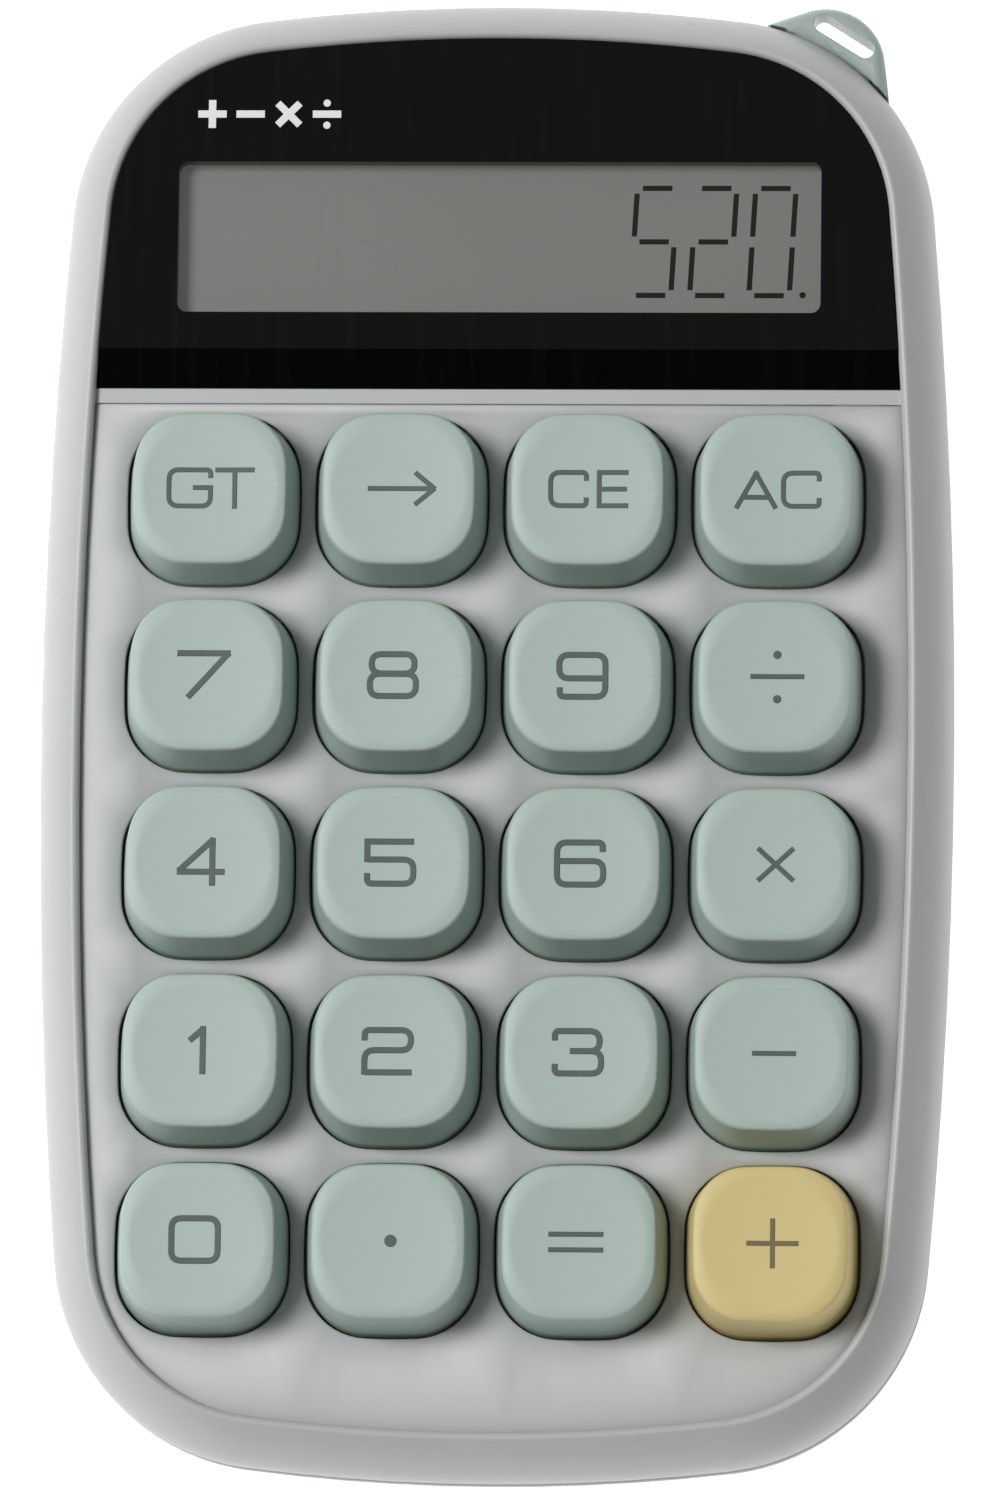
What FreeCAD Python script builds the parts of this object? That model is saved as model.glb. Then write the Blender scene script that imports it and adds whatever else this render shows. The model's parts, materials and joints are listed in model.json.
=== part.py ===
"""Desk calculator with a mechanical keyboard: two grey case shells, a keyboard deck, twenty sprung
keys, a black display bezel over a liquid-crystal cell, a circuit board, a bayonet battery cover
and a lanyard loop on one corner.

Millimetres. The origin is the centre of the footprint on the surface the feet stand on:
+X to the right of the keyboard, +Y towards the display, +Z up out of the keys.
"""

import FreeCAD
import Part

import math
import os
from itertools import product

Vector = FreeCAD.Vector
UP = Vector(0, 0, 1)
CLEAR = 0.1  # play between parts that are assembled by hand
REACH = 200.0  # longer than the whole calculator, for half-space cutting boxes

# Case outline seen from above: three tangent arcs in each quadrant
HALF_WIDTH = 46.4
HALF_LENGTH = 75.75
SIDE_RADIUS = 625.0
END_RADIUS = 200.0
CORNER_RADIUS = 22.5

# Case heights above the surface it stands on
BASE_Z = 0.8
FLOOR = 2.0
FLOOR_Z = BASE_Z + FLOOR
BASE_EDGE_RADIUS = 5.2
PARTING_Z = 8.8
SEAM_GAP = 0.2
SHOULDER_Z = 9.6
CREST_Z = 17.3
WALL = 2.0

# Rim of the upper shell, as distances in from the outline
CREST_IN = 4.0
CREST_ROUND = 0.45
APERTURE_IN = 4.55
LEDGE_IN = 6.3
LEDGE_Z = 12.9
LEDGE_TOP_Z = 14.4
TONGUE_IN = 1.1
TONGUE_Z = 10.1

# Keyboard deck and the bar between it and the display
DECK_Z = 16.0
DECK_TOP_Y = 33.4
BAR_TOP_Y = 34.9
BAR_LEDGE = 0.9
PANEL_GAP = 0.08

# Keys
KEY_PITCH = 19.05
KEY_ROWS = 5
KEY_COLUMNS = 4
TOP_ROW_Y = 23.28
KEY_NAMES = (
    ("grand_total", "backspace", "clear_entry", "all_clear"),
    ("7", "8", "9", "divide"),
    ("4", "5", "6", "multiply"),
    ("1", "2", "3", "minus"),
    ("0", "point", "equals", "plus"),
)
KEY_TRAVEL = 3.0
CAP_HALF = 8.7
CAP_CORNER = 6.3
CAP_SIDE_RADIUS = 55.0
CAP_TAPER = 1.0
CAP_LEAN = 0.3
CAP_SKIRT_Z = 14.6
CAP_TOP_Z = 22.4
CAP_WALL = 1.3
CAP_TOP_WALL = 1.5
CAP_EDGE_ROUND = 0.55
CAP_DISH_RADIUS = 105.0
CAP_DISH_DEPTH = 0.35
CAP_BOSS_R = 2.8
CAP_BOSS_Z = 16.4
CAP_SOCKET_Z = 19.0
KEY_HOLE_PLAY = 0.16

# Key switches
BOARD_Z = 5.0
BOARD_TOP_Z = 6.2
PLATE_Z = 8.4
PLATE_TOP_Z = 9.6
SWITCH_BODY = 13.6
SWITCH_FLANGE = 15.0
SWITCH_FLANGE_TOP_Z = 10.4
SWITCH_FLOOR_Z = 7.0
SWITCH_CAVITY = (10.4, 8.6)
COVER_SIZE = 13.0
COVER_CORNER = 2.5
COVER_TOP_Z = 13.2
COVER_CEILING_Z = 12.4
STEM_SIZE = (6.8, 5.0)
STEM_BOTTOM_Z = 10.2
STEM_TOP_Z = 14.2
STEM_WINGS = (8.8, 3.0)
STEM_BORE_R = 2.15
STEM_BORE_Z = 13.2
CROSS_ARM = 4.0
CROSS_THICK = (1.25, 1.1)
CROSS_TOP_Z = 19.0
SPRING_COIL_R = 1.8
SPRING_WIRE_R = 0.15
SPRING_TURNS = 7
SPRING_WIRE_SIDES = 8
SPRING_POST_R = 1.2
SPRING_POST_Z = 8.6
PIN_R = 0.5
PIN_PLACES = ((-3.2, 3.7), (3.2, 3.7))
PIN_BOTTOM_Z = 3.9
BLADE = (2.6, 0.25)
BLADE_TOP_Z = 10.0

# Display
DISPLAY_TOP_Z = 17.0
DISPLAY_CHIN_Y = 38.9
DISPLAY_CHIN_DROP = 0.9
DISPLAY_WALL = 1.6
WINDOW_HALF = (32.7, 7.78)
WINDOW_Y = 50.47
WINDOW_CORNER = 1.0
PANE_SINK = 0.08
PANE_FLANGE = 1.2
PANE_FLANGE_Z = 14.9
LCD_HALF_X = 34.0
LCD_TOP_Y = 59.7
LCD_FRONT_Y = 39.6
LCD_BACK_Y = 42.2
LCD_TOP_Z = PANE_FLANGE_Z - 0.1
LCD_GLASS = 1.1
LCD_RIB = 1.0
ZEBRA_Y = (40.0, 41.8)
ZEBRA_HALF_X = 33.0

# Screws: three pairs, driven from below into bosses of the upper shell
SCREW_PLACES = tuple(
    (side * x, y) for x, y in ((29.0, 66.2), (39.9, -5.3), (26.0, -67.6)) for side in (-1, 1)
)
POST_R = 3.2
POST_TOP_Z = 7.0
SCREW_SEAT_Z = 5.0
SCREW_HEAD_R = 1.9
SCREW_HEAD = 1.3
SCREW_R = 1.0
SCREW_TIP_Z = 12.6
SCREW_POCKET_R = 2.3
SCREW_HOLE_R = 1.2
BOSS_R = 2.6

# Ribs of the lower shell and pads of the upper one, which clamp the switch plate between them
CLAMP_YS = (18.0, -24.0, -46.0)
RIB = (1.2, 10.0)
RIB_X = 37.1
PAD = (2.0, 6.0)
PAD_X = 39.5
STANDOFF_R = 1.5
STANDOFF_PLACES = tuple((x, y) for x in (-25.8, 25.8) for y in (-53.8, 53.8))

# Feet
FOOT_PLACES = tuple((x, y) for x in (-30.0, 30.0) for y in (-56.0, 56.0))
FOOT_R = 4.0
FOOT_SINK = 0.7

# Battery bay
CELL_Y = 50.0
CELL_R = 10.0
CELL_Z = 2.0
CELL_TOP_Z = 5.2
CELL_CAP_R = 8.0
CELL_CAP = 0.3
COVER_R = 13.0
COVER_DISC_TOP_Z = 2.0
COVER_RING_R = 11.3
COVER_RING_INNER_R = 10.4
COVER_RING_TOP_Z = 4.1
LUG_R = 12.6
LUG_WIDTH_DEG = 36.0
LUG_COUNT = 3
COVER_TURN_DEG = 45.0
BAY_PAD_R = 16.5
BAY_PAD_Z = 3.4
LUG_Z = BAY_PAD_Z
STOP_R = 13.8
STOP_WIDTH_DEG = 6.0
COIN_SLOT = (15.0, 2.2, 0.7)
BOARD_CUTOUT_R = 11.9
CONTACT_THICK = 0.25
CONTACT_WIDTH = 4.0
CONTACT_REACH = 17.0

# Lanyard loop, on the corner arc
LOOP_ANGLE_DEG = 57.5
LOOP_Z = 7.4
LOOP_TOP_Z = 11.8
LOOP_OUT = 4.45
LOOP_ARCH_RADIUS = 6.1
LOOP_BASE_HALF = 7.4
LOOP_ROUND = 1.2
LOOP_SLOT_HALF = 3.5
LOOP_SLOT_IN = 1.0
LOOP_SLOT_OUT = 2.9
LOOP_NECK_HALF = 4.6
LOOP_NECK_Z = (8.0, 11.2)
LOOP_TEE_HALF = 6.0
LOOP_TEE_IN = (2.5, 3.5)


# ---------------------------------------------------------------- shapes that several parts use


def arc(centre, radius, start, end, z):
    """Arc about a point in plan, between two angles in radians, anticlockwise."""
    places = [
        Vector(centre[0] + radius * math.cos(t), centre[1] + radius * math.sin(t), z)
        for t in (start, (start + end) / 2, end)
    ]
    return Part.Arc(*places).toShape()


def soft_rectangle(half_x, half_y, side_r, end_r, corner_r, z, inset=0.0, at=(0.0, 0.0)):
    """Closed outline of eight tangent arcs: bowed sides and ends joined by corner arcs."""
    side = (half_x - side_r, 0.0)
    end = (0.0, half_y - end_r)
    gap = math.hypot(end[0] - side[0], end[1] - side[1])
    to_side, to_end = side_r - corner_r, end_r - corner_r
    along = (to_side**2 - to_end**2 + gap**2) / (2 * gap)
    across = math.sqrt(to_side**2 - along**2)
    ux, uy = (end[0] - side[0]) / gap, (end[1] - side[1]) / gap
    corner = (side[0] + along * ux - across * uy, side[1] + along * uy + across * ux)
    low = math.atan2(corner[1] - side[1], corner[0] - side[0])
    high = math.atan2(corner[1] - end[1], corner[0] - end[0])
    x, y = at
    right, left = (x + side[0], y), (x - side[0], y)
    back, front = (x, y + end[1]), (x, y - end[1])
    sides, ends, corners = side_r - inset, end_r - inset, corner_r - inset
    cx, cy = corner
    edges = [
        arc(right, sides, -low, low, z),
        arc((x + cx, y + cy), corners, low, high, z),
        arc(back, ends, high, math.pi - high, z),
        arc((x - cx, y + cy), corners, math.pi - high, math.pi - low, z),
        arc(left, sides, math.pi - low, math.pi + low, z),
        arc((x - cx, y - cy), corners, math.pi + low, math.pi + high, z),
        arc(front, ends, math.pi + high, 2 * math.pi - high, z),
        arc((x + cx, y - cy), corners, 2 * math.pi - high, 2 * math.pi - low, z),
    ]
    return Part.Wire(edges)


def corner_centre():
    """Centre of the case outline's corner arc in the first quadrant."""
    wire = case_outline(0.0, 0.0)
    centre = wire.Edges[1].Curve.Center
    return centre.x, centre.y


def case_outline(inset, z):
    return soft_rectangle(
        HALF_WIDTH, HALF_LENGTH, SIDE_RADIUS, END_RADIUS, CORNER_RADIUS, z, inset
    )


def case_slab(inset, low, high):
    """Everything inside the case outline, set in by inset, between two heights."""
    return Part.Face(case_outline(inset, low)).extrude(UP * (high - low))


def case_ring(section):
    """Sweeps a closed section, drawn as edges in (distance in from the outline, height), round it."""
    path = case_outline(0.0, 0.0)
    start = path.Edges[0].Vertexes[0].Point
    tangent = path.Edges[0].tangentAt(path.Edges[0].FirstParameter)
    outward = tangent.cross(UP)

    def place(point):
        return start - outward * point[0] + UP * point[1]

    edges = []
    for piece in section:
        points = [place(p) for p in piece]
        if len(points) == 3:
            edges.append(Part.Arc(*points).toShape())
        else:
            edges.append(Part.LineSegment(*points).toShape())
    sweep = Part.BRepOffsetAPI.MakePipeShell(path)
    sweep.setBiNormalMode(UP)
    sweep.add(Part.Wire(edges))
    sweep.build()
    sweep.makeSolid()
    return sweep.shape()


def box(low, high):
    size = [b - a for a, b in zip(low, high)]
    return Part.makeBox(*size, Vector(*low))


def block(width, depth, low_z, high_z, at=(0.0, 0.0)):
    """Box centred on a point in plan."""
    x, y = at
    return box((x - width / 2, y - depth / 2, low_z), (x + width / 2, y + depth / 2, high_z))


def rod(radius, low_z, high_z, at=(0.0, 0.0)):
    return Part.makeCylinder(radius, high_z - low_z, Vector(at[0], at[1], low_z), UP)


def rounded_block(half_x, half_y, corner, low_z, high_z, at=(0.0, 0.0)):
    solid = block(2 * half_x, 2 * half_y, low_z, high_z, at)
    uprights = [e for e in solid.Edges if abs(e.tangentAt(e.FirstParameter).z) > 0.9]
    return solid.makeFillet(corner, uprights)


def ring_sector(inner, outer, low_z, high_z, middle_deg, width_deg, at):
    """Part of a flat ring, centred on an angle."""
    ring = rod(outer, low_z, high_z, at).cut(rod(inner, low_z, high_z, at))
    far = 2 * outer
    half = math.radians(width_deg / 2)
    corners = [Vector(0, 0, 0)]
    for turn in (-half, 0.0, half):
        corners.append(Vector(far * math.cos(turn), far * math.sin(turn), 0))
    corners.append(corners[0])
    wedge = Part.Face(Part.makePolygon(corners)).extrude(UP * (high_z - low_z))
    wedge.rotate(Vector(0, 0, 0), UP, middle_deg)
    wedge.translate(Vector(at[0], at[1], low_z))
    return ring.common(wedge)


def fused(first, *others):
    return first.fuse(list(others)).removeSplitter()


def flat_edges(shape, z):
    """Edges that lie at one height."""
    return [
        e
        for e in shape.Edges
        if abs(e.BoundBox.ZMin - z) < 1e-4 and abs(e.BoundBox.ZMax - z) < 1e-4
    ]


def key_places():
    """Name and plan position of every key, row by row from the display."""
    for row in range(KEY_ROWS):
        for column in range(KEY_COLUMNS):
            x = (column - (KEY_COLUMNS - 1) / 2) * KEY_PITCH
            yield KEY_NAMES[row][column], (x, TOP_ROW_Y - row * KEY_PITCH)


def at_keys(shape):
    """Copies of a shape drawn about the origin, one under each key."""
    copies = []
    for _, (x, y) in key_places():
        copy = shape.copy()
        copy.translate(Vector(x, y, 0))
        copies.append(copy)
    return copies


# ---------------------------------------------------------------- case shells


def loop_frame(u, v, z):
    """Point on the loop's own axes: u along the outline, v out from it."""
    cx, cy = corner_centre()
    angle = math.radians(LOOP_ANGLE_DEG)
    out = Vector(math.cos(angle), math.sin(angle), 0)
    along = Vector(math.sin(angle), -math.cos(angle), 0)
    return Vector(cx, cy, z) + out * (CORNER_RADIUS + v) + along * u


def loop_box(half, inner, outer, low_z, high_z):
    """Box on the loop's axes."""
    corners = [(-half, inner), (half, inner), (half, outer), (-half, outer), (-half, inner)]
    face = Part.Face(Part.makePolygon([loop_frame(u, v, low_z) for u, v in corners]))
    return face.extrude(UP * (high_z - low_z))


def loop_passage(low_z, high_z):
    """Clearance hole for the loop's neck through the wall, and for its tee behind the wall."""
    neck = loop_box(LOOP_NECK_HALF + CLEAR, -6.0, 3.0, low_z, high_z)
    near, far = LOOP_TEE_IN
    tee = loop_box(LOOP_TEE_HALF + CLEAR, -far - CLEAR, -near + CLEAR, low_z, high_z)
    return neck.fuse(tee)


def lug_angles():
    """Where the battery cover's lugs stand when it is locked."""
    return [i * 360.0 / LUG_COUNT for i in range(LUG_COUNT)]


def bottom_case():
    r, inner = BASE_EDGE_RADIUS, BASE_EDGE_RADIUS - WALL
    bend_z = BASE_Z + r
    mid = math.sqrt(0.5)
    wall = case_ring(
        [
            ((0, bend_z), (0, PARTING_Z)),
            ((0, PARTING_Z), (TONGUE_IN, PARTING_Z)),
            ((TONGUE_IN, PARTING_Z), (TONGUE_IN, TONGUE_Z)),
            ((TONGUE_IN, TONGUE_Z), (WALL, TONGUE_Z)),
            ((WALL, TONGUE_Z), (WALL, bend_z)),
            ((WALL, bend_z), (r - inner * mid, bend_z - inner * mid), (r, FLOOR_Z)),
            ((r, FLOOR_Z), (r, BASE_Z)),
            ((r, BASE_Z), (r - r * mid, bend_z - r * mid), (0, bend_z)),
        ]
    )
    shell = fused(wall, case_slab(r, BASE_Z, FLOOR_Z))
    additions = [rod(POST_R, FLOOR_Z - 0.5, POST_TOP_Z, p) for p in SCREW_PLACES]
    bay = (0.0, CELL_Y)
    additions.append(rod(BAY_PAD_R, BASE_Z + 0.5, BAY_PAD_Z, bay))
    stop_ring = (COVER_RING_R + 0.3, STOP_R, BAY_PAD_Z - 0.2, COVER_RING_TOP_Z)
    clear_deg = (LUG_WIDTH_DEG + STOP_WIDTH_DEG) / 2 + 1.0
    for lug in lug_angles():
        for stop in (lug + clear_deg, lug - COVER_TURN_DEG - clear_deg):
            additions.append(ring_sector(*stop_ring, stop, STOP_WIDTH_DEG, bay))
    for x, y in product((-RIB_X, RIB_X), CLAMP_YS):
        additions.append(block(*RIB, FLOOR_Z - 0.5, PLATE_Z, (x, y)))
    additions.extend(rod(STANDOFF_R, FLOOR_Z - 0.5, BOARD_Z, p) for p in STANDOFF_PLACES)
    shell = fused(shell, *additions)
    cuts = [rod(FOOT_R + CLEAR, BASE_Z - 1, BASE_Z + FOOT_SINK, p) for p in FOOT_PLACES]
    for place in SCREW_PLACES:
        cuts.append(rod(SCREW_POCKET_R, BASE_Z - 1, SCREW_SEAT_Z, place))
        cuts.append(rod(SCREW_HOLE_R, BASE_Z, POST_TOP_Z + 1, place))
    cuts.append(rod(COVER_R + 0.25, BASE_Z - 1, COVER_DISC_TOP_Z + 0.05, bay))
    cuts.append(rod(COVER_RING_R + 0.2, BASE_Z, COVER_RING_TOP_Z + 1, bay))
    notch = (COVER_RING_R, LUG_R + 0.25, BASE_Z, BAY_PAD_Z + 0.01)
    for lug in lug_angles():
        cuts.append(ring_sector(*notch, lug - COVER_TURN_DEG, LUG_WIDTH_DEG + 4.0, bay))
    cuts.append(loop_passage(LOOP_NECK_Z[0] - CLEAR, TONGUE_Z + 1))
    return shell.cut(cuts)


def top_case():
    curve_r = (CREST_IN**2 + (CREST_Z - SHOULDER_Z) ** 2) / (2 * CREST_IN)
    half_turn = math.asin((CREST_Z - SHOULDER_Z) / curve_r) / 2
    crown = (
        curve_r - curve_r * math.cos(half_turn),
        SHOULDER_Z + curve_r * math.sin(half_turn),
    )
    edge_z = PARTING_Z + SEAM_GAP
    lip = TONGUE_IN - CLEAR
    lip_z = TONGUE_Z + CLEAR
    slope_z = CREST_Z - (APERTURE_IN - CREST_IN)
    frame = case_ring(
        [
            ((0, edge_z), (0, SHOULDER_Z)),
            ((0, SHOULDER_Z), crown, (CREST_IN, CREST_Z)),
            ((CREST_IN, CREST_Z), (APERTURE_IN, slope_z)),
            ((APERTURE_IN, slope_z), (APERTURE_IN, LEDGE_TOP_Z)),
            ((APERTURE_IN, LEDGE_TOP_Z), (LEDGE_IN, LEDGE_TOP_Z)),
            ((LEDGE_IN, LEDGE_TOP_Z), (LEDGE_IN, LEDGE_Z)),
            ((LEDGE_IN, LEDGE_Z), (WALL + 0.6, LEDGE_Z)),
            ((WALL + 0.6, LEDGE_Z), (WALL, LEDGE_Z - 0.6)),
            ((WALL, LEDGE_Z - 0.6), (WALL, lip_z)),
            ((WALL, lip_z), (lip, lip_z)),
            ((lip, lip_z), (lip, edge_z)),
            ((lip, edge_z), (0, edge_z)),
        ]
    )
    frame = frame.makeFillet(CREST_ROUND, flat_edges(frame, CREST_Z))
    inside = case_slab(APERTURE_IN - 0.4, LEDGE_Z, DECK_Z + 0.1)
    bar = box((-REACH, DECK_TOP_Y, LEDGE_Z), (REACH, BAR_TOP_Y, DECK_Z + 0.1))
    bar_ledge = box(
        (-REACH, DECK_TOP_Y - BAR_LEDGE, LEDGE_Z), (REACH, BAR_TOP_Y + 1.5, LEDGE_TOP_Z)
    )
    additions = [bar.common(inside), bar_ledge.common(inside)]
    for place in SCREW_PLACES:
        additions.append(rod(BOSS_R, POST_TOP_Z, LEDGE_TOP_Z, place))
    for x, y in product((-PAD_X, PAD_X), CLAMP_YS):
        additions.append(block(*PAD, PLATE_TOP_Z, LEDGE_Z + 0.5, (x, y)))
    frame = fused(frame, *additions)
    cuts = [rod(SCREW_R + 0.02, POST_TOP_Z - 1, SCREW_TIP_Z + 0.4, p) for p in SCREW_PLACES]
    cuts.append(loop_passage(PARTING_Z - 1, LOOP_NECK_Z[1] + CLEAR))
    return frame.cut(cuts)


def lanyard_loop():
    cx, cy = corner_centre()
    hug = CORNER_RADIUS + CLEAR
    base_v = math.sqrt(hug**2 - LOOP_BASE_HALF**2) - CORNER_RADIUS
    arch_v = LOOP_OUT - LOOP_ARCH_RADIUS
    reach = math.hypot(LOOP_BASE_HALF, base_v - arch_v)
    turn = math.atan2(base_v - arch_v, LOOP_BASE_HALF) + math.acos(LOOP_ARCH_RADIUS / reach)
    tangent = (LOOP_ARCH_RADIUS * math.cos(turn), arch_v + LOOP_ARCH_RADIUS * math.sin(turn))
    ends = [loop_frame(side * LOOP_BASE_HALF, base_v, LOOP_Z) for side in (-1, 1)]
    tops = [loop_frame(side * tangent[0], tangent[1], LOOP_Z) for side in (-1, 1)]
    peak, foot = loop_frame(0, LOOP_OUT, LOOP_Z), loop_frame(0, CLEAR, LOOP_Z)
    edges = [
        Part.Arc(ends[1], foot, ends[0]).toShape(),
        Part.LineSegment(ends[0], tops[0]).toShape(),
        Part.Arc(tops[0], peak, tops[1]).toShape(),
        Part.LineSegment(tops[1], ends[1]).toShape(),
    ]
    body = Part.Face(Part.Wire(edges)).extrude(UP * (LOOP_TOP_Z - LOOP_Z))
    rims = [
        e
        for e in flat_edges(body, LOOP_Z) + flat_edges(body, LOOP_TOP_Z)
        if (e.CenterOfMass - Vector(cx, cy, e.CenterOfMass.z)).Length > hug + CLEAR
    ]
    body = body.makeFillet(LOOP_ROUND, rims)
    slot_r = (LOOP_SLOT_OUT - LOOP_SLOT_IN) / 2
    slot_v = LOOP_SLOT_IN + slot_r
    slot = loop_box(LOOP_SLOT_HALF - slot_r, LOOP_SLOT_IN, LOOP_SLOT_OUT, LOOP_Z - 1, LOOP_TOP_Z + 1)
    for end in (-1, 1):
        middle = loop_frame(end * (LOOP_SLOT_HALF - slot_r), slot_v, 0)
        slot = slot.fuse(rod(slot_r, LOOP_Z - 1, LOOP_TOP_Z + 1, (middle.x, middle.y)))
    body = body.cut(slot.removeSplitter())
    neck = loop_box(LOOP_NECK_HALF, -LOOP_TEE_IN[0] - 0.5, 0.7, *LOOP_NECK_Z)
    tee = loop_box(LOOP_TEE_HALF, -LOOP_TEE_IN[1], -LOOP_TEE_IN[0], *LOOP_NECK_Z)
    return fused(body, neck, tee)


# ---------------------------------------------------------------- deck and display


def deck_panel():
    slab = case_slab(APERTURE_IN + PANEL_GAP, LEDGE_TOP_Z, DECK_Z)
    slab = slab.cut(box((-REACH, DECK_TOP_Y - PANEL_GAP, 0), (REACH, REACH, REACH)))
    hole = Part.Face(cap_outline(-KEY_HOLE_PLAY, LEDGE_TOP_Z - 1)).extrude(UP * 4)
    slab = slab.cut(at_keys(hole))
    return slab.makeChamfer(0.2, flat_edges(slab, DECK_Z))


def display_bezel():
    outline_in = APERTURE_IN + PANEL_GAP
    front = BAR_TOP_Y + PANEL_GAP
    slab = case_slab(outline_in, LEDGE_TOP_Z, DISPLAY_TOP_Z)
    slab = slab.cut(box((-REACH, -REACH, 0), (REACH, front, REACH)))
    chin = Part.makePolygon(
        [
            Vector(-REACH, front - 1, DISPLAY_TOP_Z + 1),
            Vector(-REACH, DISPLAY_CHIN_Y, DISPLAY_TOP_Z + 1),
            Vector(-REACH, DISPLAY_CHIN_Y, DISPLAY_TOP_Z),
            Vector(-REACH, front, DISPLAY_TOP_Z - DISPLAY_CHIN_DROP),
            Vector(-REACH, front - 1, DISPLAY_TOP_Z - DISPLAY_CHIN_DROP),
            Vector(-REACH, front - 1, DISPLAY_TOP_Z + 1),
        ]
    )
    slab = slab.cut(Part.Face(chin).extrude(Vector(2 * REACH, 0, 0)))
    under_z = DISPLAY_TOP_Z - DISPLAY_WALL
    hollow = case_slab(outline_in + 1.6, LEDGE_TOP_Z - 1, under_z)
    hollow = hollow.common(box((-REACH, DISPLAY_CHIN_Y - 0.8, 0), (REACH, REACH, REACH)))
    rib_low = LCD_TOP_Z - LCD_GLASS
    frame = box(
        (-LCD_HALF_X - 0.3 - LCD_RIB, LCD_FRONT_Y - 0.3 - LCD_RIB, rib_low),
        (LCD_HALF_X + 0.3 + LCD_RIB, LCD_TOP_Y + 0.3 + LCD_RIB, under_z),
    )
    pocket = box(
        (-LCD_HALF_X - 0.3, LCD_FRONT_Y - 0.3, rib_low - 1),
        (LCD_HALF_X + 0.3, LCD_TOP_Y + 0.3, under_z + 1),
    )
    ribs = frame.cut(pocket).common(case_slab(LEDGE_IN + 0.2, rib_low, under_z))
    window = rounded_block(*WINDOW_HALF, WINDOW_CORNER, 0, REACH / 4, (0, WINDOW_Y))
    return fused(slab.cut(hollow), ribs).cut(window)


def display_window():
    plug = rounded_block(
        WINDOW_HALF[0] - 0.05,
        WINDOW_HALF[1] - 0.05,
        WINDOW_CORNER - 0.05,
        PANE_FLANGE_Z,
        DISPLAY_TOP_Z - PANE_SINK,
        (0, WINDOW_Y),
    )
    flange = block(
        2 * (WINDOW_HALF[0] + PANE_FLANGE),
        2 * (WINDOW_HALF[1] + PANE_FLANGE),
        PANE_FLANGE_Z,
        DISPLAY_TOP_Z - DISPLAY_WALL,
        (0, WINDOW_Y),
    )
    return fused(plug, flange)


def lcd_cell():
    front = box((-LCD_HALF_X, LCD_FRONT_Y, LCD_TOP_Z - LCD_GLASS), (LCD_HALF_X, LCD_TOP_Y, LCD_TOP_Z))
    back = box(
        (-LCD_HALF_X, LCD_BACK_Y, LCD_TOP_Z - 2 * LCD_GLASS),
        (LCD_HALF_X, LCD_TOP_Y, LCD_TOP_Z - LCD_GLASS),
    )
    return fused(front, back)


def zebra_strip():
    return box(
        (-ZEBRA_HALF_X, ZEBRA_Y[0], BOARD_TOP_Z), (ZEBRA_HALF_X, ZEBRA_Y[1], LCD_TOP_Z - LCD_GLASS)
    )


# ---------------------------------------------------------------- keys


def cap_outline(inset, z, back=0.0):
    return soft_rectangle(
        CAP_HALF, CAP_HALF, CAP_SIDE_RADIUS, CAP_SIDE_RADIUS, CAP_CORNER, z, inset, (0, back)
    )


def cap_body(inset, low_z, high_z):
    """Block whose walls lean in; its top sits a little back, so the front wall leans most."""
    wires = []
    for z in (low_z, high_z):
        share = (z - CAP_SKIRT_Z) / (CAP_TOP_Z - CAP_SKIRT_Z)
        wires.append(cap_outline(inset + CAP_TAPER * share, z, CAP_LEAN * share))
    return Part.makeLoft(wires, True, True)


def cross(arm, thick, low_z, high_z):
    return fused(block(arm, thick[0], low_z, high_z), block(thick[1], arm, low_z, high_z))


def keycap():
    outer = cap_body(0.0, CAP_SKIRT_Z, CAP_TOP_Z)
    outer = outer.makeFillet(CAP_EDGE_ROUND, flat_edges(outer, CAP_TOP_Z))
    dish = Part.makeSphere(
        CAP_DISH_RADIUS, Vector(0, CAP_LEAN, CAP_TOP_Z - CAP_DISH_DEPTH + CAP_DISH_RADIUS)
    )
    outer = outer.cut(dish)
    ceiling_z = CAP_TOP_Z - CAP_TOP_WALL
    hollow = cap_body(CAP_WALL, CAP_SKIRT_Z, ceiling_z)
    socket = cross(
        CROSS_ARM + CLEAR, [t + CLEAR for t in CROSS_THICK], CAP_BOSS_Z - 1, CAP_SOCKET_Z
    )
    boss = rod(CAP_BOSS_R, CAP_BOSS_Z, ceiling_z + 0.2)
    return fused(outer.cut(hollow), boss).cut(socket)


def key_stem():
    slider = block(*STEM_SIZE, STEM_BOTTOM_Z, STEM_TOP_Z)
    wings = block(*STEM_WINGS, STEM_BOTTOM_Z, COVER_CEILING_Z - 0.05)
    post = cross(CROSS_ARM, CROSS_THICK, STEM_TOP_Z - 0.2, CROSS_TOP_Z)
    bore = rod(STEM_BORE_R, STEM_BOTTOM_Z - 1, STEM_BORE_Z)
    return fused(slider, wings, post).cut(bore)


def switch_base():
    body = block(SWITCH_BODY, SWITCH_BODY, BOARD_TOP_Z, PLATE_TOP_Z)
    flange = block(SWITCH_FLANGE, SWITCH_FLANGE, PLATE_TOP_Z, SWITCH_FLANGE_TOP_Z)
    cavity = block(*SWITCH_CAVITY, SWITCH_FLOOR_Z, SWITCH_FLANGE_TOP_Z + 1)
    post = rod(SPRING_POST_R, SWITCH_FLOOR_Z - 0.3, SPRING_POST_Z)
    holes = [rod(PIN_R + 0.05, BOARD_TOP_Z - 1, SWITCH_FLOOR_Z + 0.1, p) for p in PIN_PLACES]
    return fused(fused(body, flange).cut(cavity), post).cut(holes)


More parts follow.
